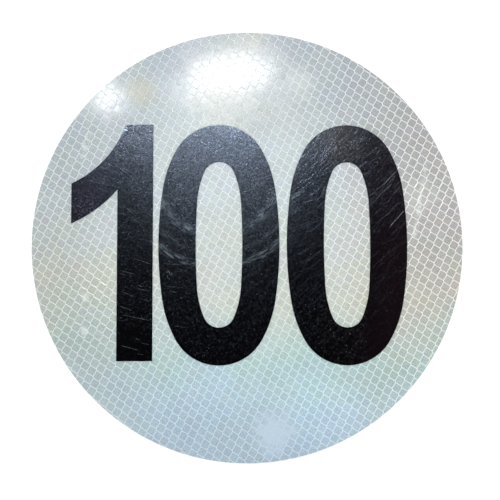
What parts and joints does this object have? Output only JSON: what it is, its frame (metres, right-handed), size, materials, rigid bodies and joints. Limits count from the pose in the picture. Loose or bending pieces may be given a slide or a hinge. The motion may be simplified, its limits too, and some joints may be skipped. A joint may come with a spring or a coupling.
{
  "type": "speed limit sign",
  "caption": "Flat round speed limit disc: a punched metal plate faced with cellular reflective sheeting, with large black cut-film digits.",
  "frame": {"origin": "centre of the plate's back face", "axes": "+Z out of the sign's face, +Y up the sign as it is read, +X to the reader's right"},
  "size_m": [0.2, 0.2, 0.0021],
  "materials": {
    "plate": "mill finish, fine rolling grain",
    "sheeting": "clear gloss film over silvery sealed cells",
    "black_film": "satin black film, finely scratched"
  },
  "bodies": {
    "root": {"backing_plate": "plate", "reflective_sheet": "sheeting", "digit_one": "black_film", "digit_zero_middle": "black_film", "digit_zero_right": "black_film"}
  },
  "joints": []
}
